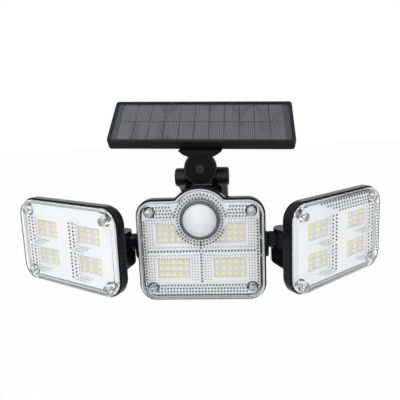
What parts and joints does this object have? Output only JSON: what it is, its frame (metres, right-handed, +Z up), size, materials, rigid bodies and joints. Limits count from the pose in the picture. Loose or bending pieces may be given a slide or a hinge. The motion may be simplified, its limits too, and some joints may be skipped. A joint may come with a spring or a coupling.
{
  "type": "motion sensor security light",
  "caption": "Wall-mounted solar lamp: tilting centre head with a domed motion sensor, swinging side heads on short arms, and a sloped solar panel on a knuckle above.",
  "frame": {"origin": "centre of the wall plate's rear face, where it lies on the wall", "axes": "+Z up, +Y into the wall, +X to the right as seen from the front"},
  "size_m": [0.329, 0.1262, 0.1775],
  "materials": {
    "black_shell": "gloss",
    "black_bracket": "satin",
    "clear_lens": "gloss",
    "white_reflector": "satin",
    "light_board": "satin",
    "emitter": "gloss",
    "seal": "matte",
    "steel": "satin",
    "dark_screw": "satin",
    "milky_dome": "satin",
    "dark_ring": "gloss",
    "control_board": "satin",
    "cell_wrap": "gloss",
    "cradle": "matte",
    "brass": "satin",
    "panel_glass": "gloss",
    "panel_sheet": "matte",
    "solar_cell": "satin",
    "button": "satin"
  },
  "bodies": {
    "wall_mount": {"wall_bracket": "black_bracket", "pivot_bolt": "steel", "pivot_nut": "steel", "pivot_washers": "steel"},
    "lamp": {"centre_housing": "black_shell", "centre_gasket": "seal", "centre_lens": "clear_lens", "centre_reflector": "white_reflector", "centre_led_board": "light_board", "centre_leds": "emitter", "centre_lens_screws": "dark_screw", "centre_board_screws": "steel", "pir_dome": "milky_dome", "pir_bezel": "dark_ring", "pir_sensor": "steel", "control_board": "control_board", "battery_cell": "cell_wrap", "battery_cradle": "cradle", "power_switch": "cradle"},
    "button": {"power_button": "button"},
    "knuckle": {"panel_knuckle": "black_bracket", "knuckle_insert": "brass"},
    "solar_panel": {"panel_foot": "black_shell", "panel_frame": "black_shell", "panel_backing": "panel_sheet", "panel_glass": "panel_glass", "solar_cells": "solar_cell", "panel_foot_screws": "steel", "roll_screw": "dark_screw", "roll_washer": "steel"},
    "left_arm": {"left_arm": "black_shell", "left_arm_seal": "seal", "left_arm_ring": "steel"},
    "left_head": {"left_housing": "black_shell", "left_gasket": "seal", "left_lens": "clear_lens", "left_reflector": "white_reflector", "left_led_board": "light_board", "left_leds": "emitter", "left_lens_screws": "dark_screw", "left_board_screws": "steel", "left_hinge_pin": "dark_screw"},
    "right_arm": {"right_arm": "black_shell", "right_arm_seal": "seal", "right_arm_ring": "steel"},
    "right_head": {"right_housing": "black_shell", "right_gasket": "seal", "right_lens": "clear_lens", "right_reflector": "white_reflector", "right_led_board": "light_board", "right_leds": "emitter", "right_lens_screws": "dark_screw", "right_board_screws": "steel", "right_hinge_pin": "dark_screw"}
  },
  "joints": [
    {"name": "lamp_tilt", "type": "hinge", "parent": "wall_mount", "child": "lamp", "pos_m": [0, -0.048, 0.028], "axis": [1, 0, 0], "range_deg": [-5, 28]},
    {"name": "panel_tilt", "type": "hinge", "parent": "wall_mount", "child": "knuckle", "pos_m": [0, -0.048, 0.028], "axis": [1, 0, 0], "range_deg": [-15, 12]},
    {"name": "panel_roll", "type": "hinge", "parent": "knuckle", "child": "solar_panel", "pos_m": [0, -0.066, 0.0387], "axis": [0, 1, 0], "range_deg": [-30, 30]},
    {"name": "left_arm_twist", "type": "hinge", "parent": "lamp", "child": "left_arm", "pos_m": [-0.0718, -0.0776, -0.0246], "axis": [1, 0, 0], "range_deg": [-15, 15]},
    {"name": "right_arm_twist", "type": "hinge", "parent": "lamp", "child": "right_arm", "pos_m": [0.0718, -0.0776, -0.0246], "axis": [1, 0, 0], "range_deg": [-15, 15]},
    {"name": "left_head_swing", "type": "hinge", "parent": "left_arm", "child": "left_head", "pos_m": [-0.0718, -0.0776, -0.0246], "axis": [0, 0, -1], "range_deg": [-7.5, 32.5]},
    {"name": "right_head_swing", "type": "hinge", "parent": "right_arm", "child": "right_head", "pos_m": [0.0718, -0.0776, -0.0246], "axis": [0, 0, 1], "range_deg": [-20, 19.75]},
    {"name": "button_press", "type": "slide", "parent": "lamp", "child": "button", "axis": [0, 0, 1], "range_m": [0, 0.001], "stiffness_N_per_m": 350, "springref_m": -0.0008}
  ]
}
